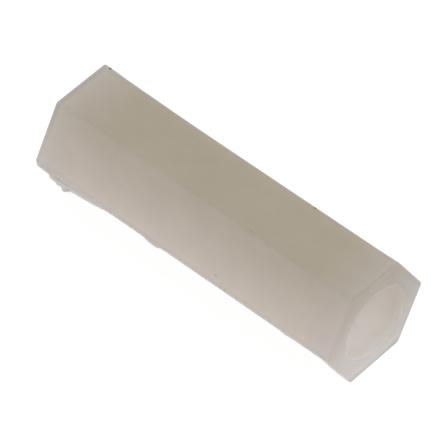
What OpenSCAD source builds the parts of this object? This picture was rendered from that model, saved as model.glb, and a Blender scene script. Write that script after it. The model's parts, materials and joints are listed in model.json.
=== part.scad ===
// Hex standoff with a plain through bore, moulded in one piece in natural nylon.
// It lies on one flat: +X runs along the bore, +Z is up, and the origin is the
// middle of the flat that it lies on. Sizes are in millimetres.
// The far end is the one at -X, and the front is the side towards -Y.

/* [Body] */
// Length between the two end faces
body_length = 20; // [12:0.5:60]
// Width across the flats, which a spanner of that size grips
across_flats = 6; // [5.5:0.1:12]
// Radius of the six long edges
long_edge_r = 0.2; // [0.1:0.05:0.5]
// Chamfer around the outline of each end face
end_chamfer = 0.12; // [0.05:0.01:0.2]

/* [Bore] */
// Diameter of the bore, which clears an M4 screw
bore_d = 4.3; // [2:0.1:4.6]
// Chamfer at each mouth of the bore
mouth_chamfer = 0.08; // [0.05:0.01:0.2]

/* [Mould flash] */
// Thickness of the flash, up from the flat that the part lies on
flash_thick = 0.18; // [0.1:0.02:0.4]
// How far the flash at the far end stands out from the lower front edge
flash_reach = 0.3; // [0.1:0.02:0.4]
// Length of that flash along the edge
flash_length = 3; // [2:0.1:5]
// How far the torn tip of that flash stands out
tip_reach = 0.46; // [0.4:0.02:0.7]
// Width of the torn tip along the edge
tip_width = 0.5; // [0.2:0.05:0.5]
// Distance of the tip's middle from the far end face
tip_place = 0.5; // [0.5:0.05:1.2]
// How far the far end's lip stands out from the lower front side
lip_reach = 0.14; // [0.06:0.02:0.2]
// Thickness of that lip along the bore
lip_thick = 0.3; // [0.2:0.05:0.8]
// Height at which the lip steps out to the full reach of the flash
lip_step = 1.2; // [0.6:0.1:1.6]
// How far the flash at the near end stands out from the lower front edge
near_reach = 0.12; // [0.06:0.02:0.3]
// Length of the near end's flash along the edge
near_length = 1.7; // [0.8:0.1:3]
// How far the small nib stands out from the lower front edge
nib_reach = 0.08; // [0.04:0.02:0.2]
// Length of the nib along the edge
nib_length = 0.8; // [0.4:0.1:1.6]
// Distance of the nib's middle from the far end face
nib_place = 6.5; // [6:0.1:8.5]

/* [Hidden] */
sides = 6;
turn = 360 / sides;               // angle between neighbouring corners
arc_steps = 6;                    // flat strips that round each long edge
flat_r = across_flats / 2;        // from the bore's axis to a flat
edge_y = flat_r * tan(turn / 2);  // from the middle of a flat to its sharp edge
side_w = 2 * edge_y;              // width of one side between its sharp edges
arc_centre_r = (flat_r - long_edge_r) / cos(turn / 2);
bore_r = bore_d / 2;
past = 0.01;                      // how far a cut runs past the face that it opens
flash_root = (flat_r - bore_r) / 2;  // the flash runs back into half of the wall
lip_end = side_w - long_edge_r;   // where the lip dies out, up the lower front side

// Hexagon with rounded corners, with one flat at the bottom.
module hex_outline() {
    polygon([
        for (corner = [0 : sides - 1])
            for (step = [0 : arc_steps])
                let (
                    middle = corner * turn,
                    angle = middle - turn / 2 + step * turn / arc_steps
                )
                arc_centre_r * [cos(middle), sin(middle)]
                    + long_edge_r * [cos(angle), sin(angle)]
    ]);
}

// The six 45 degree cuts around the outline of the upper end face.
module end_cuts() {
    for (side = [0 : sides - 1])
        rotate((side + 0.5) * turn)
            translate([flat_r - end_chamfer / 2, 0, body_length / 2 - end_chamfer / 2])
                rotate([0, -45, 0])
                    translate([0, -across_flats, -across_flats / 2])
                        cube([across_flats, 2 * across_flats, across_flats]);
}

// The bore with its chamfered upper mouth, from the middle of the body upwards.
module half_bore() {
    translate([0, 0, -past])
        cylinder(r = bore_r, h = body_length / 2 + 2 * past, $fn = 96);
    translate([0, 0, body_length / 2 - mouth_chamfer])
        cylinder(
            r1 = bore_r,
            r2 = bore_r + mouth_chamfer + past,
            h = mouth_chamfer + past,
            $fn = 96
        );
}

// The bar before its flash, standing on end around the bore's axis.
module bar() {
    difference() {
        linear_extrude(height = body_length, center = true)
            hex_outline();
        for (end = [0, 1])
            mirror([0, 0, end]) {
                end_cuts();
                half_bore();
            }
    }
}

// The next three are seen from below: x runs along the lower front edge from an
// end face, and y stands out from the edge.

// The far end's flash: full at the end, a torn tip, and a tail that dies out.
module far_flash_plan() {
    tip_start = tip_place - tip_width / 2;
    tip_end = tip_place + tip_width / 2;
    polygon([
        [end_chamfer, -flash_root],
        [end_chamfer, flash_reach],
        [tip_start, flash_reach],
        [tip_place - tip_width / 5, tip_reach],
        [tip_place + tip_width / 4, tip_reach],
        [tip_end, 0.7 * flash_reach],
        [0.85 * flash_length, 0.3 * flash_reach],
        [flash_length, 0],
        [flash_length, -flash_root]
    ]);
}

// The near end's flash, which swells towards the end face.
module near_flash_plan() {
    polygon([
        [end_chamfer, -flash_root],
        [end_chamfer, near_reach],
        [near_length / 3, near_reach],
        [near_length, 0],
        [near_length, -flash_root]
    ]);
}

// A low nib with steep ends.
module nib_plan() {
    nib_start = nib_place - nib_length / 2;
    nib_end = nib_place + nib_length / 2;
    polygon([
        [nib_start, -flash_root],
        [nib_start, 0],
        [nib_start + nib_length / 5, nib_reach],
        [nib_end - nib_length / 5, nib_reach],
        [nib_end, 0],
        [nib_end, -flash_root]
    ]);
}

// A point beside the lower front side, in (y, z): up the side from its lower edge
// and out from its face.
function beside(up, out) =
    [-edge_y, 0] + up * [-sin(turn / 2), cos(turn / 2)] - out * [cos(turn / 2), sin(turn / 2)];

// The lip that the end of the mould left on the lower front side, in (y, z).
module lip_section() {
    step_up = lip_step / cos(turn / 2);
    polygon([
        [-edge_y + flash_root, 0],
        [-edge_y - flash_reach, 0],
        beside(step_up, flash_reach),
        beside(step_up + flash_reach, lip_reach),
        beside(lip_end - 2 * lip_reach, lip_reach),
        beside(lip_end, 0),
        beside(lip_end, -flash_root),
        beside(2 * flash_root, -flash_root)
    ]);
}

// Everything that the mould's joint left on the bar.
module flash() {
    translate([-body_length / 2, -edge_y, 0])
        mirror([0, 1, 0])
            linear_extrude(height = flash_thick) {
                far_flash_plan();
                nib_plan();
            }
    translate([body_length / 2, -edge_y, 0])
        rotate(180)
            linear_extrude(height = flash_thick)
                near_flash_plan();
    translate([-body_length / 2 + end_chamfer, 0, 0])
        rotate([90, 0, 90])
            linear_extrude(height = lip_thick)
                lip_section();
}

module standoff() {
    color([0.75, 0.71, 0.65])
        union() {
            translate([0, 0, flat_r])
                rotate([90, 0, 90])
                    bar();
            flash();
        }
}

standoff();
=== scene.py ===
"""Looks of a hex standoff moulded in natural nylon, with a plain bore right through it.

It lies on one flat: +X runs along the bore, +Z is up, -Y is the front, and the far end is the
one at -X. Lengths are in metres, and in the tables and fades in millimetres. The bar's length,
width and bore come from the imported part.
"""

import json
import math

import bmesh
import bpy
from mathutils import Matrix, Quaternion, Vector


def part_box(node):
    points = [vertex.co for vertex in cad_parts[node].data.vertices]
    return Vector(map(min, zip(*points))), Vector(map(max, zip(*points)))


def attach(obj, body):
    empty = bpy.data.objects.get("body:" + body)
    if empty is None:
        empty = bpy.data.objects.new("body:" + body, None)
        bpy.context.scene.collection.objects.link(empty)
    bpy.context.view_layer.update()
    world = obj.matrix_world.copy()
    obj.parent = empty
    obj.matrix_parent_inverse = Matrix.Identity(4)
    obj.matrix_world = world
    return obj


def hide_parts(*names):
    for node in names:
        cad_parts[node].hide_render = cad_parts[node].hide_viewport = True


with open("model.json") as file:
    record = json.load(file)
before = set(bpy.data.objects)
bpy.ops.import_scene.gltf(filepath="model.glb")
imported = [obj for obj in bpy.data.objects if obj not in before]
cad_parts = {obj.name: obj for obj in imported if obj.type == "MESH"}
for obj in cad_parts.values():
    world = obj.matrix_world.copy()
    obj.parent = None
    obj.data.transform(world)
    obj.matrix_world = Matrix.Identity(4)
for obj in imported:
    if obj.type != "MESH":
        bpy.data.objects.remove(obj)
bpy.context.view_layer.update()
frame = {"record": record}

MM = 0.001
NODE = "standoff"

# ---------------------------------------------------------------- sizes of the part
SIDES = 6
HALF_TURN = math.pi / SIDES  # half the angle between neighbouring sides

low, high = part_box(NODE)
bore_mount = next(m for m in frame["record"]["mounts"] if m["name"] == "bore")
length = high.x - low.x
end_x = length / 2
flat_r = (high.z - low.z) / 2
corner_r = flat_r / math.cos(HALF_TURN)
edge_y = corner_r / 2
bore_r = bore_mount["dims"]["r_mm"] * MM
axis_z = flat_r
length_mm = length / MM
bore_r_mm = bore_r / MM

LONG_EDGE_R = 0.2 * MM
END_ROUND = 0.06 * MM
MOUTH_ROUND = 0.03 * MM
LONG_EDGE_SEGMENTS = 6
END_SEGMENTS = 4
MOUTH_SEGMENTS = 3
FLAT_CUTS = 13
SHADE_ANGLE = math.radians(32)  # sharper edges than this are shaded as edges
WELD = 0.001 * MM  # vertices this near to each other, or to a ring's plane, are one
ON_END = 0.01 * MM  # a vertex this near to an end's plane lies on it
ON_RIM = 0.01  # as a share of its radius, how near to a rim an edge counts as on it
OUTSIDE_SHARE = 0.95  # a vertex further from the axis than this share of flat_r is outside

# rings along the bar, as (distance of the first from the far end, step, number) in
# millimetres: close together where flash was torn off, and wider between
RINGS = (
    (0.25, 0.15, 2),
    (0.5, 0.15, 3),
    (0.9, 0.125, 3),
    (1.29, 0.18, 13),
    (3.75, 0.3, 7),
    (5.85, 0.12, 14),
    (7.71, 0.3, 34),
    (17.91, 0.12, 16),
)

WAIST = 0.075 * MM  # how much narrower the middle of the bar is, from edge to edge
WAIST_EASE_FAR = 4.5 * MM  # how far from the far end the waist is reached
WAIST_EASE_NEAR = 1.6 * MM  # and from the near end
WAIST_LEAST = 0.02  # a ring that is nearer to its end than this share of the way is left
WAIST_CENTRE = (edge_y / 3, axis_z + flat_r / 3)  # (y, z) that the waist is drawn in to

# mould flash along the lower front edge, as (distance from the far end, reach) in millimetres
FAR_FLASH = (
    (0.0, 0.33),
    (0.2, 0.32),
    (0.3, 0.29),
    (0.42, 0.32),
    (0.52, 0.42),
    (0.62, 0.47),
    (0.7, 0.47),
    (0.82, 0.3),
    (0.9, 0.21),
    (1.1, 0.2),
    (1.6, 0.165),
    (2.5, 0.12),
    (2.9, 0.05),
    (3.3, 0.01),
    (4.0, 0.0),
)
NIB = ((6.0, 0.0), (6.15, 0.1), (6.5, 0.12), (6.85, 0.11), (6.98, 0.0))
SMALL_NIB = ((15.3, 0.0), (15.5, 0.05), (15.75, 0.05), (15.9, 0.0))
NEAR_FLASH = ((18.0, 0.0), (18.5, 0.08), (19.1, 0.12), (19.6, 0.135), (20.0, 0.12))
# the flash thins out up the lower front side: (height in millimetres, share of the reach)
FLASH_ROOT = ((0.12, 1.0), (0.4, 0.72), (0.6, 0.42), (0.8, 0.2), (1.0, 0.06))
FLASH_FROM = 0.9 * edge_y  # how far to the front its root starts
FLASH_SLOPE = 0.58  # how far the lower front side stands out for each unit up
FLASH_SLACK = 0.03 * MM  # how far off that side a vertex of the root may lie

# the line that the other joint of the mould left along the top back edge, as (distance from
# the far end, reach), and how it dies out around that edge, as (distance from it, share)
WITNESS = (
    (0.0, 0.09),
    (0.6, 0.09),
    (1.0, 0.08),
    (1.5, 0.057),
    (4.0, 0.033),
    (5.0, 0.016),
    (7.0, 0.0),
)
WITNESS_ROOT = ((0.2, 1.0), (0.35, 0.5), (0.5, 0.15))

# the lip around the far end's lower front side, as (lowest height, highest height, reach) in
# millimetres
LIP = ((2.82, 2.95, 0.01), (1.2, 2.82, 0.13), (0.3, 1.2, 0.24))
LIP_THICK = 0.36 * MM
LIP_EASE = 0.12 * MM  # the last stretch of its thickness, over which it rises

# ---------------------------------------------------------------- colours of the nylon, and the light and shade painted into them
# painted light and shade: the bar lighter low down and darker high up, as if lit from below
BAR_LOW_LIT = (0.738, 0.662, 0.622, 1)
BAR_HIGH_SHADED = (0.441, 0.386, 0.314, 1)
# painted shade on the top face
TOP_SHADE = (0.382, 0.334, 0.256, 1)
# painted light: near white at the foot, on the flash and along the bottom of the end faces
FOOT_LIGHT = (0.97, 0.97, 0.93, 1)
# painted light towards each end, where light comes in through the end faces
NEAR_END_LIGHT = (0.515, 0.472, 0.495, 1)
FAR_END_LIGHT = (0.528, 0.482, 0.468, 1)
# painted light and shade on the end faces: lighter low down, darker high up
FACE_LOW_LIT = (0.548, 0.516, 0.499, 1)
FACE_HIGH_SHADED = (0.337, 0.288, 0.242, 1)
# painted shade towards the back of the end faces
FACE_BACK_SHADE = (0.27, 0.26, 0.216, 1)
# painted shade on the rounded edges, the far end's rim, the lower front side and around the mouth
FAR_EDGE_SHADE = (0.27, 0.255, 0.245, 1)
NEAR_EDGE_SHADE = (0.27, 0.244, 0.208, 1)
# painted light in the bore, for the light from outside that comes through its thin wall: lighter
# deeper in and lower down
MOUTH_LIT_LOW = (0.746, 0.728, 0.681, 1)
MOUTH_LIT_HIGH = (0.734, 0.679, 0.627, 1)
BORE_LIT_LOW = (0.969, 0.916, 0.877, 1)
BORE_LIT_HIGH = (0.925, 0.876, 0.833, 1)
BORE_DEEP_LIT = (1.0, 0.965, 0.925, 1)
SPECK_COLOR = (0.09, 0.07, 0.05, 1)

# A fade is (measure, start, end) or (measure, start, end, first tone, last tone). Its measure
# is one of place_group's. From its start to its end the tone runs smoothly from the first to
# the last one, or from 0 to 1 where it gives none. A tone is the share of a colour mixed in.

# a tint is (colour, fade, ...), and its fades are multiplied
# painted light and shade on the bar's sides
BAR_LIGHT_AND_SHADE = (
    (TOP_SHADE, ("Height", 0.982, 1.0)),
    (FOOT_LIGHT, ("Height", 0.13, 0.04)),
    (FOOT_LIGHT, ("From Flats", -0.03, -0.12, 0.0, 0.45)),
    (NEAR_END_LIGHT, ("From Far", length_mm - 3.0, length_mm, 0.0, 0.3)),
    (FAR_END_LIGHT, ("From Far", 3.4, 0.0, 0.0, 0.42)),
)
# painted shade and light on the end faces
FACE_LIGHT_AND_SHADE = (
    (FACE_BACK_SHADE, ("Front", 0.5, -1.0, 0.0, 0.23)),
    (FOOT_LIGHT, ("From Axis", 3.1, 2.8), ("Height", 0.16, 0.05, 0.0, 0.1)),
)
# painted light deep in the bore, low down
BORE_PAINTED_LIGHT = ((BORE_DEEP_LIT, ("From End", 1.7, 2.15), ("Height", 0.3, 0.2)),)

# where the bar's parts lie
ON_FACE = ("From End", END_ROUND / MM, 0.01)
OFF_FLASH = ("From Axis", 3.55, 3.47)
NEAR_HALF = ("From Far", 9.0, 11.0)

# painted shade on the long edges: all at one tone, apart from the darker one at the top back
LONG_EDGES = ("From Axis", 3.3, 3.4)
LONG_EDGE_SHADE = 0.13
BACK_EDGE = ("Front", 0.3, -0.3, LONG_EDGE_SHADE, 0.22)
TOP_EDGES = ("Height", 0.8, 0.98)

# painted shade along the edge around each end, on its sides and on its face, and on the far end's
# rim
END_EDGE_SIDES = ("From End", 0.36, 0.0)
END_EDGE_FACE = ("From Flats", 0.5, 0.1)
END_EDGE_UP = ("Height", 0.95, 1.0, 0.36, 0.56)
END_EDGE_FRONT = ("Front", 0.3, 0.8, 0.0, 0.12)
END_EDGE_BACK = ("Front", -0.1, -0.8, 0.0, 0.45)
FAR_RIM = ("From Far", 0.45, 0.05)
FAR_RIM_UP = ("Height", 0.55, 1.0, 0.3, 0.7)

# painted shade on the lower front side, above the flash
LOW_SIDE = ("Low Front", 0.14, 0.04)
LOW_SIDE_UP = ("Height", 0.06, 0.12, 0.0, 0.22)

# painted shade on the end face around the bore's mouth, above and below, left off a thin rim at the
# front, which stays light
MOUTH_EDGE = ("From Axis", bore_r_mm + 0.45, bore_r_mm)
MOUTH_EDGE_UP = ("Height", 0.3, 0.9, 0.0, 0.42)
LIT_RIM = ("From Axis", bore_r_mm + 0.15, bore_r_mm + 0.08)
LIT_RIM_FRONT = ("Front", 0.1, 0.35)
LOW_RIM = ("From Axis", bore_r_mm + 0.12, bore_r_mm + 0.04)
LOW_RIM_DOWN = ("Height", 0.32, 0.2, 0.0, 0.2)

# painted light on the bore's wall, for the light from outside that fills it, and painted shade on
# its rim at the mouth
WALL_UP = ("Height", 0.14, 0.52)
WALL_LIT = ("From End", 0.0, 1.8)
WALL_RIM = ("From End", 0.3, 0.0)
WALL_RIM_BACK = ("Front", 0.15, -0.2)
WALL_RIM_LOW = ("Height", 0.2, 0.36, 0.26, 0.16)
WALL_RIM_TOP = ("Height", 0.4, 0.75, 0.0, 0.38)
WALL_LOW_RIM = ("From End", 0.14, 0.04)

# ---------------------------------------------------------------- finish of the nylon
NYLON_IOR = 1.53
SUBSURFACE_WEIGHT = 0.4
BAR_LIGHT_DEPTH = 2.2 * MM
BORE_LIGHT_DEPTH = 0.8 * MM
BAR_ROUGHNESS = 0.5
BORE_ROUGHNESS = 0.55
BAR_GRAIN_HEIGHT = 0.006 * MM
BORE_GRAIN_HEIGHT = 0.004 * MM
GRAIN_STRENGTH = 0.5
GRAIN_PER_MM = 9.0
GRAIN_DETAIL = 3.0
GRAIN_FINENESS = 0.6
GRAIN_SPAN = (0.3, 0.7)  # the grain's heights, from its pits to its peaks
GRAIN_SWING = 0.06  # how far the roughness swings each way between them

# clouds, as (number in a millimetre, detail, fineness, share)
CLOUDS = ((0.45, 3.0, 0.5, 0.65), (2.6, 4.0, 0.6, 0.35))
CLOUD_CONTRAST = 4.0
BAR_CLOUD_DEPTH = 0.04
BORE_CLOUD_DEPTH = 0.02

# dark specks, as (place in millimetres, radius in millimetres, strength)
SPECKS = (
    ((-9.6, 1.84, 5.96), 0.115, 1.0),
    ((-9.55, 1.78, 5.99), 0.09, 1.0),
    ((-9.5, 1.68, 6.0), 0.05, 0.5),
    ((4.5, 1.69, 5.97), 0.09, 0.8),
    ((3.16, -1.58, 6.0), 0.09, 0.18),
    ((2.25, -3.25, 3.37), 0.075, 0.45),
    ((-3.13, 0.36, 6.0), 0.16, 0.04),
)
SPECK_RAGGED_PER_MM = 9.0
SPECK_RIM = (1.1, 0.5)  # the shares of a speck's radius between which it darkens

# ---------------------------------------------------------------- studio
FLOOR_SIZE = 6.0
PAPER = (0.95, 0.95, 0.95, 1)
SEEN_PAPER = (0.2, 0.2, 0.2, 1)
SEEN_PAPER_GLOW = 0.87
WORLD_COLOR = (0.8, 0.8, 0.8, 1)
SOFT_LEVEL = 1.06
SEEN_LEVEL = 1.0

CAMERA_AZIMUTH = 43.43  # degrees from the front, towards the near end
CAMERA_ELEVATION = 48.75
CAMERA_ROLL = -1.24
CAMERA_DISTANCE = 248.4 * MM
CAMERA_ASIDE = (-0.2216 * MM, -0.0453 * MM, 0)  # how far it is moved in its own plane
CAMERA_LENS = 401.1
CAMERA_SENSOR = 36
CAMERA_CLIP = (0.01, 20)


# ---------------------------------------------------------------- tools for modelling
def start_piece():
    """Leaves the object mode with nothing selected, as a new piece needs."""
    if bpy.context.mode != "OBJECT":
        bpy.ops.object.mode_set(mode="OBJECT")
    bpy.ops.object.select_all(action="DESELECT")


def select(piece, kind, test):
    """In edit mode, selects only the verts, edges or faces that pass the test."""
    bpy.ops.mesh.select_all(action="DESELECT")
    mesh = bmesh.from_edit_mesh(piece.data)
    for element in getattr(mesh, kind):
        if test(element):
            element.select_set(True)
    bmesh.update_edit_mesh(piece.data, loop_triangles=False, destructive=False)


def select_verts(piece, indices):
    """In edit mode, selects only these vertices."""
    bpy.ops.mesh.select_all(action="DESELECT")
    mesh = bmesh.from_edit_mesh(piece.data)
    mesh.verts.ensure_lookup_table()
    for index in indices:
        mesh.verts[index].select_set(True)
    bmesh.update_edit_mesh(piece.data, loop_triangles=False, destructive=False)


def rings_of(piece, test):
    """The vertices that pass the test, as lists of indices keyed by their place along the bar."""
    mesh = bmesh.from_edit_mesh(piece.data)
    mesh.verts.index_update()
    rings = {}
    for vert in mesh.verts:
        if test(vert.co):
            rings.setdefault(round(vert.co.x, 6), []).append(vert.index)
    return rings


def bevel_edges(size, segments):
    """In edit mode, rounds the selected edges."""
    bpy.ops.mesh.bevel(
        offset=size, offset_type="OFFSET", segments=segments, affect="EDGES", clamp_overlap=False
    )


def along_bar(edge):
    """1 for an edge that runs along the bar, and 0 for one that runs across it."""
    return abs((edge.verts[1].co - edge.verts[0].co).normalized().x)


def from_axis(co):
    return math.hypot(co.y, co.z - axis_z)


def on_outside(co):
    """True on the bar's sides and its flash, and False on the wall of its bore."""
    return from_axis(co) > flat_r * OUTSIDE_SHARE


def ease(t):
    """Rises smoothly from 0 to 1 as t does, and stays there."""
    t = min(max(t, 0), 1)
    return t * t * (3 - 2 * t)


def along_line(points, place):
    """The height, at this place, of the broken line through the (place, height) points."""
    for (x0, h0), (x1, h1) in zip(points, points[1:]):
        if x0 <= place <= x1:
            return h0 + (h1 - h0) * (place - x0) / (x1 - x0)
    return 0.0


# ---------------------------------------------------------------- the bar
def open_end(bar, end):
    """Draws one end face in from the bar's outline to the circle of the bore."""
    select(bar, "edges", lambda e: all(v.co.x * end > end_x - ON_END for v in e.verts))
    bpy.ops.mesh.extrude_region_move()
    bpy.ops.transform.tosphere(value=1.0)
    ring = next(v.co for v in bmesh.from_edit_mesh(bar.data).verts if v.select)
    shrink = bore_r / from_axis(ring)
    bpy.ops.transform.resize(
        value=(1, shrink, shrink), center_override=(end * end_x, 0, axis_z)
    )


def add_rings():
    """Cuts the bar's sides and the bore's wall into rings along their length."""
    for first, step, number in RINGS:
        for ring in range(number):
            x = (first + step * ring) * MM - end_x
            bpy.ops.mesh.select_all(action="SELECT")
            bpy.ops.mesh.bisect(plane_co=(x, 0, axis_z), plane_no=(1, 0, 0), threshold=WELD)


def round_rim(bar, outer, size, segments):
    """Rounds the edge between both end faces and the bar's outline, or the bore's wall."""

    def on_rim(edge):
        radii = [from_axis(v.co) for v in edge.verts]
        if any(abs(v.co.x) <= end_x - ON_END for v in edge.verts):
            return False
        if outer:
            return min(radii) > flat_r * (1 - ON_RIM)
        return max(radii) < bore_r * (1 + ON_RIM)

    select(bar, "edges", on_rim)
    bevel_edges(size, segments)


def shape_waist(bar):
    """Draws the bar in a little between its ends, most at its lower front edge."""
    for x, ring in rings_of(bar, on_outside).items():
        from_end = min((x + end_x) / WAIST_EASE_FAR, (end_x - x) / WAIST_EASE_NEAR)
        if from_end <= WAIST_LEAST:
            continue
        share = 1 - WAIST / (2 * corner_r) * ease(from_end)
        select_verts(bar, ring)
        bpy.ops.transform.resize(value=(1, share, share), center_override=(x, *WAIST_CENTRE))


def pull_lip(bar):
    """Pulls the lip out of the far end's lower front side."""
    out = Vector((0, -math.cos(HALF_TURN), -math.sin(HALF_TURN)))
    for low_z, high_z, reach in LIP:

        def on_band(co):
            side = out.y * co.y + out.z * (co.z - axis_z)
            in_lip = co.x < -end_x + LIP_THICK and low_z <= co.z / MM < high_z
            return in_lip and side > flat_r * OUTSIDE_SHARE

        for x, ring in rings_of(bar, on_band).items():
            share = ease((-end_x + LIP_THICK - x) / LIP_EASE)
            select_verts(bar, ring)
            bpy.ops.transform.translate(value=out * reach * share * MM)


def pull_flash(bar):
    """Pulls the mould's flash out of the lower front edge, with a root up the lower front side."""
    low_z = -MM
    for band_top, share in FLASH_ROOT:
        high_z = band_top * MM

        def on_band(co):
            on_side = FLASH_FROM < -co.y < edge_y + FLASH_SLOPE * co.z + FLASH_SLACK
            return on_side and low_z <= co.z < high_z and on_outside(co)

        for x, ring in rings_of(bar, on_band).items():
            place = (x + end_x) / MM
            reach = sum(along_line(line, place) for line in (FAR_FLASH, NIB, SMALL_NIB, NEAR_FLASH))
            if reach > 0:
                select_verts(bar, ring)
                bpy.ops.transform.translate(value=(0, -reach * share * MM, 0))
        low_z = high_z


def pull_witness(bar):
    """Pulls the thin line that the mould's other joint left out of the top back edge."""
    inner = -1.0
    for outer, share in WITNESS_ROOT:

        def on_band(co):
            apart = math.hypot(co.y - edge_y, co.z - 2 * flat_r) / MM
            return inner < apart <= outer and on_outside(co)

        for x, ring in rings_of(bar, on_band).items():
            reach = along_line(WITNESS, (x + end_x) / MM)
            if reach > 0:
                select_verts(bar, ring)
                bpy.ops.transform.translate(value=(0, reach * share * MM, 0))
        inner = outer


def model_bar():
    start_piece()
    bpy.ops.mesh.primitive_cylinder_add(
        vertices=SIDES,
        radius=corner_r,
        depth=length,
        end_fill_type="NOTHING",
        location=(0, 0, axis_z),
        rotation=(0, math.pi / 2, 0),
    )
    bar = bpy.context.object
    bar.name = "nylon_bar"
    bar.data.name = "nylon_bar"
    bpy.ops.object.transform_apply(location=True, rotation=True, scale=True)
    bpy.ops.object.mode_set(mode="EDIT")

    # round the six long edges
    select(bar, "edges", lambda e: along_bar(e) > 0.5)
    bevel_edges(LONG_EDGE_R * math.tan(HALF_TURN), LONG_EDGE_SEGMENTS)
    # divide the six flats across their width
    select(bar, "edges", lambda e: along_bar(e) < 0.5 and e.calc_length() > edge_y)
    bpy.ops.mesh.subdivide(number_cuts=FLAT_CUTS)
    # draw in both end faces, and draw the bore's wall from one to the other
    open_end(bar, 1)
    bpy.ops.mesh.extrude_region_move(TRANSFORM_OT_translate={"value": (-length, 0, 0)})
    open_end(bar, -1)
    bpy.ops.mesh.select_all(action="SELECT")
    bpy.ops.mesh.remove_doubles(threshold=WELD)
    add_rings()
    round_rim(bar, outer=True, size=END_ROUND, segments=END_SEGMENTS)
    round_rim(bar, outer=False, size=MOUTH_ROUND, segments=MOUTH_SEGMENTS)
    shape_waist(bar)
    pull_lip(bar)
    pull_flash(bar)
    pull_witness(bar)
    bpy.ops.mesh.select_all(action="SELECT")
    bpy.ops.mesh.normals_make_consistent(inside=False)
    bpy.ops.object.mode_set(mode="OBJECT")
    bpy.ops.object.shade_smooth_by_angle(angle=SHADE_ANGLE)
    return bar


# ---------------------------------------------------------------- tools for materials
def new_group(name, inputs, outputs):
    """A shader node group with the named inputs, as (name, kind, value), and outputs."""
    group = bpy.data.node_groups.new(name, "ShaderNodeTree")
    for socket, kind, value in inputs:
        made = group.interface.new_socket(socket, in_out="INPUT", socket_type="NodeSocket" + kind)
        made.default_value = value
    for socket, kind in outputs:
        group.interface.new_socket(socket, in_out="OUTPUT", socket_type="NodeSocket" + kind)
    given = group.nodes.new("NodeGroupInput").outputs
    result = group.nodes.new("NodeGroupOutput").inputs
    return group, given, result


def put_value(tree, socket, value):
    """Sets a socket to a number, or links an output to it."""
    if isinstance(value, bpy.types.NodeSocket):
        tree.links.new(value, socket)
    else:
        socket.default_value = value


def add_math(tree, operation, first, *others):
    """Works one operation through its values, such as their product or the largest of them."""
    for other in others or (0.0,):
        node = tree.nodes.new("ShaderNodeMath")
        node.operation = operation
        put_value(tree, node.inputs[0], first)
        put_value(tree, node.inputs[1], other)
        first = node.outputs[0]
    return first


def add_vector_math(tree, operation, first, second):
    node = tree.nodes.new("ShaderNodeVectorMath")
    node.operation = operation
    put_value(tree, node.inputs[0], first)
    put_value(tree, node.inputs["Scale" if operation == "SCALE" else 1], second)
    return node.outputs


def add_range(tree, value, from_low, from_high, to_low=0.0, to_high=1.0):
    """Maps a value smoothly from one range to another."""
    node = tree.nodes.new("ShaderNodeMapRange")
    node.interpolation_type = "SMOOTHSTEP"
    for name, number in (
        ("Value", value),
        ("From Min", from_low),
        ("From Max", from_high),
        ("To Min", to_low),
        ("To Max", to_high),
    ):
        put_value(tree, node.inputs[name], number)
    return node.outputs["Result"]


def add_mix(tree, share, first, second):
    """Mixes two colours."""
    node = tree.nodes.new("ShaderNodeMix")
    node.data_type = "RGBA"
    put_value(tree, node.inputs["Factor"], share)
    put_value(tree, node.inputs[6], first)
    put_value(tree, node.inputs[7], second)
    return node.outputs[2]


def add_noise(tree, position, scale, detail=2.0, roughness=0.5):
    node = tree.nodes.new("ShaderNodeTexNoise")
    node.inputs["Detail"].default_value = detail
    node.inputs["Roughness"].default_value = roughness
    put_value(tree, node.inputs["Scale"], scale)
    put_value(tree, node.inputs["Vector"], position)
    return node.outputs["Fac"]


def use_group(tree, group, **values):
    """Places a group in a material; the values are keyed by socket name, with _ for a space."""
    node = tree.nodes.new("ShaderNodeGroup")
    node.node_tree = group
    for name, value in values.items():
        put_value(tree, node.inputs[name.replace("_", " ")], value)
    return node.outputs


def add_fade(tree, place, fade, *tones):
    """The tone that a fade gives, or these tones in place of its own."""
    measure, start, end, *own_tones = fade
    return add_range(tree, place[measure], start, end, *(tones or own_tones))


def add_fades(tree, place, *fades):
    """The product of one fade or more."""
    tone, *others = [add_fade(tree, place, fade) for fade in fades]
    return add_math(tree, "MULTIPLY", tone, *others) if others else tone


def add_tints(tree, place, color, tints):
    """Mixes tint after tint into a colour."""
    for tint, *fades in tints:
        color = add_mix(tree, add_fades(tree, place, *fades), color, tint)
    return color


# ---------------------------------------------------------------- effects in the nylon
def place_group():
    """Where a point lies on the bar.

    Height is a share of the bar's own, and Front runs from 1 at the front edge to -1 at the
    back one. The others are in millimetres: from the nearer end, from the far end, from the
    bore's axis, from the nearest side inwards, and from the lower front side inwards.
    """
    measures = ("Height", "From End", "From Far", "From Axis", "From Flats", "Front", "Low Front")
    group, given, result = new_group(
        "bar_place", [("Position", "Vector", (0, 0, 0))], [(name, "Float") for name in measures]
    )

    def work(operation, first, *others):
        return add_math(group, operation, first, *others)

    split = group.nodes.new("ShaderNodeSeparateXYZ")
    group.links.new(given["Position"], split.inputs[0])
    along, across, up = split.outputs
    rise = work("SUBTRACT", up, axis_z)
    squared = work("ADD", work("MULTIPLY", across, across), work("MULTIPLY", rise, rise))
    half_rise = work("MULTIPLY", rise, math.sin(HALF_TURN))
    slant = work("MULTIPLY", across, math.cos(HALF_TURN))
    upper_back = work("ADD", slant, half_rise)
    lower_back = work("SUBTRACT", slant, half_rise)
    widest = work("MAXIMUM", *(work("ABSOLUTE", side) for side in (rise, upper_back, lower_back)))
    places = {
        "Height": work("DIVIDE", up, 2 * flat_r),
        "From End": work("DIVIDE", work("SUBTRACT", end_x, work("ABSOLUTE", along)), MM),
        "From Far": work("DIVIDE", work("ADD", along, end_x), MM),
        "From Axis": work("DIVIDE", work("SQRT", squared), MM),
        "From Flats": work("DIVIDE", work("SUBTRACT", flat_r, widest), MM),
        "Front": work("DIVIDE", across, -corner_r),
        "Low Front": work("DIVIDE", work("ADD", upper_back, flat_r), MM),
    }
    for name, value in places.items():
        group.links.new(value, result[name])
    return group


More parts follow.
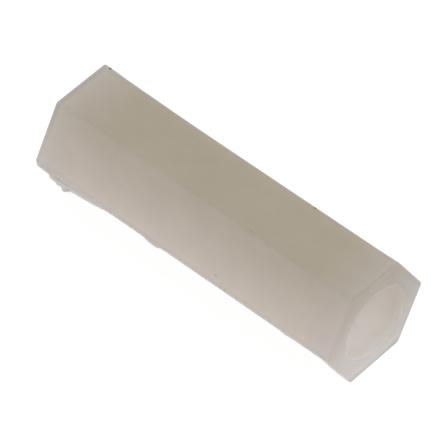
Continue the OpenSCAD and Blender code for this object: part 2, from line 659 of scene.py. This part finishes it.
def speck_group():
    """A small dark speck, with a soft ragged rim, around one point."""
    group, given, result = new_group(
        "speck",
        [
            ("Position", "Vector", (0, 0, 0)),
            ("Place", "Vector", (0, 0, 0)),
            ("Radius", "Float", 0.1),
            ("Strength", "Float", 1.0),
        ],
        [("Mask", "Float")],
    )
    apart = add_vector_math(group, "DISTANCE", given["Position"], given["Place"])
    radius = add_math(group, "MULTIPLY", given["Radius"], MM)
    ragged = add_noise(group, given["Position"], SPECK_RAGGED_PER_MM / MM)
    share = add_math(group, "DIVIDE", apart["Value"], radius)
    share = add_math(group, "ADD", share, add_math(group, "SUBTRACT", ragged, 0.5))
    mask = add_range(group, share, *SPECK_RIM)
    group.links.new(add_math(group, "MULTIPLY", mask, given["Strength"]), result["Mask"])
    return group


def cloud_group():
    """Faint clouds in the plastic, where it set milkier: the colour that went in, clouded."""
    group, given, result = new_group(
        "clouds",
        [
            ("Position", "Vector", (0, 0, 0)),
            ("Color", "Color", (0.5, 0.5, 0.5, 1)),
            ("Depth", "Float", 0.05),
        ],
        [("Color", "Color")],
    )
    cloud = 0.0
    for per_mm, detail, fineness, share in CLOUDS:
        noise = add_noise(group, given["Position"], per_mm / MM, detail, fineness)
        cloud = add_math(group, "ADD", cloud, add_math(group, "MULTIPLY", noise, share))
    swing = add_math(group, "MULTIPLY", add_math(group, "SUBTRACT", cloud, 0.5), given["Depth"])
    level = add_math(group, "ADD", add_math(group, "MULTIPLY", swing, CLOUD_CONTRAST), 1.0)
    clouded = add_vector_math(group, "SCALE", given["Color"], level)
    group.links.new(clouded["Vector"], result["Color"])
    return group


def grain_group():
    """The fine spark-eroded grain that the mould left: its height and its roughness."""
    group, given, result = new_group(
        "mould_grain",
        [
            ("Position", "Vector", (0, 0, 0)),
            ("Per Mm", "Float", GRAIN_PER_MM),
            ("Roughness", "Float", 0.5),
        ],
        [("Height", "Float"), ("Roughness", "Float")],
    )
    scale = add_math(group, "DIVIDE", given["Per Mm"], MM)
    grain = add_noise(group, given["Position"], scale, GRAIN_DETAIL, GRAIN_FINENESS)
    group.links.new(grain, result["Height"])
    swing = add_range(group, grain, *GRAIN_SPAN, -GRAIN_SWING, GRAIN_SWING)
    group.links.new(add_math(group, "ADD", given["Roughness"], swing), result["Roughness"])
    return group


# ---------------------------------------------------------------- materials
def start_nylon(name, groups, light_depth, roughness, grain_height):
    """A milky plastic with the mould's grain, that light sinks into."""
    material = bpy.data.materials.new(name)
    material.use_nodes = True
    tree = material.node_tree
    surface = tree.nodes["Principled BSDF"].inputs
    surface["IOR"].default_value = NYLON_IOR
    surface["Subsurface Weight"].default_value = SUBSURFACE_WEIGHT
    surface["Subsurface Radius"].default_value = (1.0, 1.0, 1.0)
    surface["Subsurface Scale"].default_value = light_depth
    position = tree.nodes.new("ShaderNodeTexCoord").outputs["Object"]
    grain = use_group(
        tree, groups["grain"], Position=position, Per_Mm=GRAIN_PER_MM, Roughness=roughness
    )
    tree.links.new(grain["Roughness"], surface["Roughness"])
    bump = tree.nodes.new("ShaderNodeBump")
    bump.inputs["Strength"].default_value = GRAIN_STRENGTH
    bump.inputs["Distance"].default_value = grain_height
    tree.links.new(grain["Height"], bump.inputs["Height"])
    tree.links.new(bump.outputs["Normal"], surface["Normal"])
    return material, tree, surface, position


def add_clouds(tree, groups, position, color, depth):
    clouded = use_group(tree, groups["clouds"], Position=position, Color=color, Depth=depth)
    return clouded["Color"]


def add_specks(tree, groups, position, color):
    for place_mm, radius, strength in SPECKS:
        speck = use_group(
            tree,
            groups["speck"],
            Position=position,
            Place=[c * MM for c in place_mm],
            Radius=radius,
            Strength=strength,
        )
        color = add_mix(tree, speck["Mask"], color, SPECK_COLOR)
    return color


def end_edge_shade(tree, place, on_face):
    """How much painted shade the edge around an end gets: one tone on the bar's sides, another on
    the face.
    """
    off_face_tone = add_fade(tree, place, END_EDGE_UP)
    front_tone = add_fade(tree, place, END_EDGE_FRONT)
    face_tone = add_math(tree, "MAXIMUM", front_tone, add_fade(tree, place, END_EDGE_BACK))
    tone = add_range(tree, on_face, 0.0, 1.0, off_face_tone, face_tone)
    by_end = add_fade(tree, place, END_EDGE_SIDES, 0.0, tone)
    return add_math(tree, "MULTIPLY", add_fade(tree, place, END_EDGE_FACE), by_end)


def mouth_edge_shade(tree, place, on_face):
    """How much painted shade the end face gets around the bore's mouth, above and below."""
    upper = add_fades(tree, place, MOUTH_EDGE, MOUTH_EDGE_UP)
    lit = add_fades(tree, place, LIT_RIM, LIT_RIM_FRONT)
    upper = add_math(tree, "MULTIPLY", upper, add_math(tree, "SUBTRACT", 1.0, lit))
    lower = add_fades(tree, place, LOW_RIM, LOW_RIM_DOWN)
    return add_math(tree, "MULTIPLY", on_face, add_math(tree, "MAXIMUM", upper, lower))


def side_shade(tree, place, on_face):
    """How much painted shade the long edges, the far end's rim and the lower front side get."""
    in_bar = add_fade(tree, place, OFF_FLASH)
    back_tone = add_fade(tree, place, BACK_EDGE)
    edge_tone = add_fade(tree, place, TOP_EDGES, LONG_EDGE_SHADE, back_tone)
    long_edges = add_math(tree, "MULTIPLY", in_bar, add_fade(tree, place, LONG_EDGES), edge_tone)
    off_face = add_math(tree, "MULTIPLY", in_bar, add_math(tree, "SUBTRACT", 1.0, on_face))
    far_rim = add_fades(tree, place, FAR_RIM, FAR_RIM_UP)
    low_side = add_fades(tree, place, LOW_SIDE, LOW_SIDE_UP)
    sides = add_math(tree, "MULTIPLY", off_face, add_math(tree, "MAXIMUM", far_rim, low_side))
    return add_math(tree, "MAXIMUM", long_edges, sides)


def outside_material(groups):
    """The bar's sides and end faces."""
    material, tree, surface, position = start_nylon(
        "natural_nylon", groups, BAR_LIGHT_DEPTH, BAR_ROUGHNESS, BAR_GRAIN_HEIGHT
    )
    place = use_group(tree, groups["place"], Position=position)
    # painted light and shade: lighter downwards as if lit from below, darker and warmer on the top
    # face, near white at the foot and on the flash, and greyer and paler towards both ends, where
    # light comes in through the end faces
    color = add_mix(tree, place["Height"], BAR_LOW_LIT, BAR_HIGH_SHADED)
    color = add_tints(tree, place, color, BAR_LIGHT_AND_SHADE)
    # the end faces, with painted light and shade: lighter low down, darker high up and towards the
    # back, and near white along the foot
    face = add_mix(tree, place["Height"], FACE_LOW_LIT, FACE_HIGH_SHADED)
    face = add_tints(tree, place, face, FACE_LIGHT_AND_SHADE)
    on_face = add_fade(tree, place, ON_FACE)
    color = add_mix(tree, on_face, color, face)
    # painted shade on the rounded edges, which gather light, and on the far end's rim, the lower
    # front side and around the bore's mouth
    edges = add_math(
        tree,
        "MAXIMUM",
        side_shade(tree, place, on_face),
        end_edge_shade(tree, place, on_face),
        mouth_edge_shade(tree, place, on_face),
    )
    near_half = add_fade(tree, place, NEAR_HALF)
    edge_shade_color = add_mix(tree, near_half, FAR_EDGE_SHADE, NEAR_EDGE_SHADE)
    color = add_mix(tree, edges, color, edge_shade_color)
    color = add_clouds(tree, groups, position, color, BAR_CLOUD_DEPTH)
    color = add_specks(tree, groups, position, color)
    tree.links.new(color, surface["Base Color"])
    return material


def bore_material(groups):
    """The bore's wall is thin, so light from outside comes through it; that light is painted into
    its colour, lighter deeper in and lower down.
    """
    material, tree, surface, position = start_nylon(
        "nylon_bore", groups, BORE_LIGHT_DEPTH, BORE_ROUGHNESS, BORE_GRAIN_HEIGHT
    )
    place = use_group(tree, groups["place"], Position=position)
    up_wall = add_fade(tree, place, WALL_UP)
    mouth = add_mix(tree, up_wall, MOUTH_LIT_LOW, MOUTH_LIT_HIGH)
    wall = add_mix(tree, up_wall, BORE_LIT_LOW, BORE_LIT_HIGH)
    color = add_mix(tree, add_fade(tree, place, WALL_LIT), mouth, wall)
    color = add_tints(tree, place, color, BORE_PAINTED_LIGHT)
    # painted shade on its rim, which gathers light as the bar's edges do
    rim_tone = add_math(
        tree, "MAXIMUM", add_fade(tree, place, WALL_RIM_LOW), add_fade(tree, place, WALL_RIM_TOP)
    )
    back_tone = add_fade(tree, place, WALL_RIM_BACK, 0.0, rim_tone)
    back_rim = add_math(tree, "MULTIPLY", add_fade(tree, place, WALL_RIM), back_tone)
    low_rim = add_fades(tree, place, WALL_LOW_RIM, LOW_RIM_DOWN)
    color = add_mix(tree, add_math(tree, "MAXIMUM", back_rim, low_rim), color, NEAR_EDGE_SHADE)
    color = add_clouds(tree, groups, position, color, BORE_CLOUD_DEPTH)
    tree.links.new(color, surface["Base Color"])
    return material


def add_materials(bar):
    """The outside and both end faces in one material, and the bore's wall in another."""
    groups = {
        "place": place_group(),
        "speck": speck_group(),
        "clouds": cloud_group(),
        "grain": grain_group(),
    }
    bar.data.materials.append(outside_material(groups))
    bar.data.materials.append(bore_material(groups))
    start_piece()
    bar.select_set(True)
    bpy.context.view_layer.objects.active = bar
    bpy.ops.object.mode_set(mode="EDIT")
    wall_r = bore_r + MOUTH_ROUND * 0.2  # a little of the rounded mouth gets the wall's material and its painted light
    select(bar, "faces", lambda f: all(from_axis(v.co) < wall_r for v in f.verts))
    bar.active_material_index = 1
    bpy.ops.object.material_slot_assign()
    bpy.ops.object.mode_set(mode="OBJECT")


# ---------------------------------------------------------------- studio
def seen_directly(tree):
    """1 for what the camera sees, also by reflection or through the plastic, and 0 for light."""
    path = tree.nodes.new("ShaderNodeLightPath").outputs
    rays = ("Is Camera Ray", "Is Glossy Ray", "Is Transmission Ray")
    return add_math(tree, "MAXIMUM", *(path[ray] for ray in rays))


def mix_when_seen(tree, unseen, seen, output):
    """Gives the output one shader for light, and the other for what is seen directly."""
    mix = tree.nodes.new("ShaderNodeMixShader")
    tree.links.new(seen_directly(tree), mix.inputs["Fac"])
    tree.links.new(unseen, mix.inputs[1])
    tree.links.new(seen, mix.inputs[2])
    tree.links.new(mix.outputs["Shader"], output.inputs["Surface"])


def paper_material():
    """White paper: the camera sees it white, with the part's own shadow left on it."""
    material = bpy.data.materials.new("white_paper")
    material.use_nodes = True
    tree = material.node_tree
    tree.nodes.clear()
    paper = tree.nodes.new("ShaderNodeBsdfDiffuse")
    paper.inputs["Color"].default_value = PAPER
    seen_paper = tree.nodes.new("ShaderNodeBsdfDiffuse")
    seen_paper.inputs["Color"].default_value = SEEN_PAPER
    glow = tree.nodes.new("ShaderNodeEmission")
    glow.inputs["Strength"].default_value = SEEN_PAPER_GLOW
    seen = tree.nodes.new("ShaderNodeAddShader")
    tree.links.new(seen_paper.outputs["BSDF"], seen.inputs[0])
    tree.links.new(glow.outputs["Emission"], seen.inputs[1])
    output = tree.nodes.new("ShaderNodeOutputMaterial")
    mix_when_seen(tree, paper.outputs["BSDF"], seen.outputs["Shader"], output)
    return material


def make_floor():
    start_piece()
    bpy.ops.mesh.primitive_plane_add(size=FLOOR_SIZE, location=(0, 0, 0))
    floor = bpy.context.object
    floor.name = "floor"
    floor.data.materials.append(paper_material())


def add_background(tree, level):
    background = tree.nodes.new("ShaderNodeBackground")
    background.inputs["Color"].default_value = WORLD_COLOR
    background.inputs["Strength"].default_value = level
    return background.outputs["Background"]


def make_world():
    world = bpy.data.worlds.new("studio")
    bpy.context.scene.world = world
    world.use_nodes = True
    tree = world.node_tree
    tree.nodes.clear()
    output = tree.nodes.new("ShaderNodeOutputWorld")
    mix_when_seen(tree, add_background(tree, SOFT_LEVEL), add_background(tree, SEEN_LEVEL), output)


def direction(azimuth, elevation):
    """The way out from the part, in degrees round from the front and up from the floor."""
    a, e = math.radians(azimuth), math.radians(elevation)
    return Vector((math.sin(a) * math.cos(e), -math.cos(a) * math.cos(e), math.sin(e)))


def soft_lamp(name, azimuth, elevation, distance, size, level):
    """A square soft box that lights a facing surface at the given level on its own."""
    data = bpy.data.lights.new(name, "AREA")
    data.shape = "SQUARE"
    data.size = size
    data.energy = level * (math.pi * distance) ** 2
    lamp = bpy.data.objects.new(name, data)
    bpy.context.scene.collection.objects.link(lamp)
    back = direction(azimuth, elevation)
    lamp.location = Vector((0, 0, axis_z)) + back * distance
    lamp.rotation_mode = "QUATERNION"
    lamp.rotation_quaternion = back.to_track_quat("Z", "Y")


def make_camera():
    data = bpy.data.cameras.new("camera")
    data.sensor_width = CAMERA_SENSOR
    data.lens = CAMERA_LENS
    data.clip_start, data.clip_end = CAMERA_CLIP
    camera = bpy.data.objects.new("camera", data)
    bpy.context.scene.collection.objects.link(camera)
    back = direction(CAMERA_AZIMUTH, CAMERA_ELEVATION)
    roll = Quaternion((0, 0, 1), math.radians(CAMERA_ROLL))
    turn = (-back).to_track_quat("-Z", "Y") @ roll
    camera.rotation_mode = "QUATERNION"
    camera.rotation_quaternion = turn
    aside = turn @ Vector(CAMERA_ASIDE)
    camera.location = Vector((0, 0, axis_z)) + back * CAMERA_DISTANCE + aside
    bpy.context.scene.camera = camera


make_camera()
make_world()
make_floor()
soft_lamp("end_box", azimuth=100, elevation=33, distance=0.5, size=0.35, level=0.3)

bar = model_bar()
add_materials(bar)
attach(bar, "root")
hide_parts(NODE)

scene = bpy.context.scene
scene.view_settings.view_transform = "Standard"
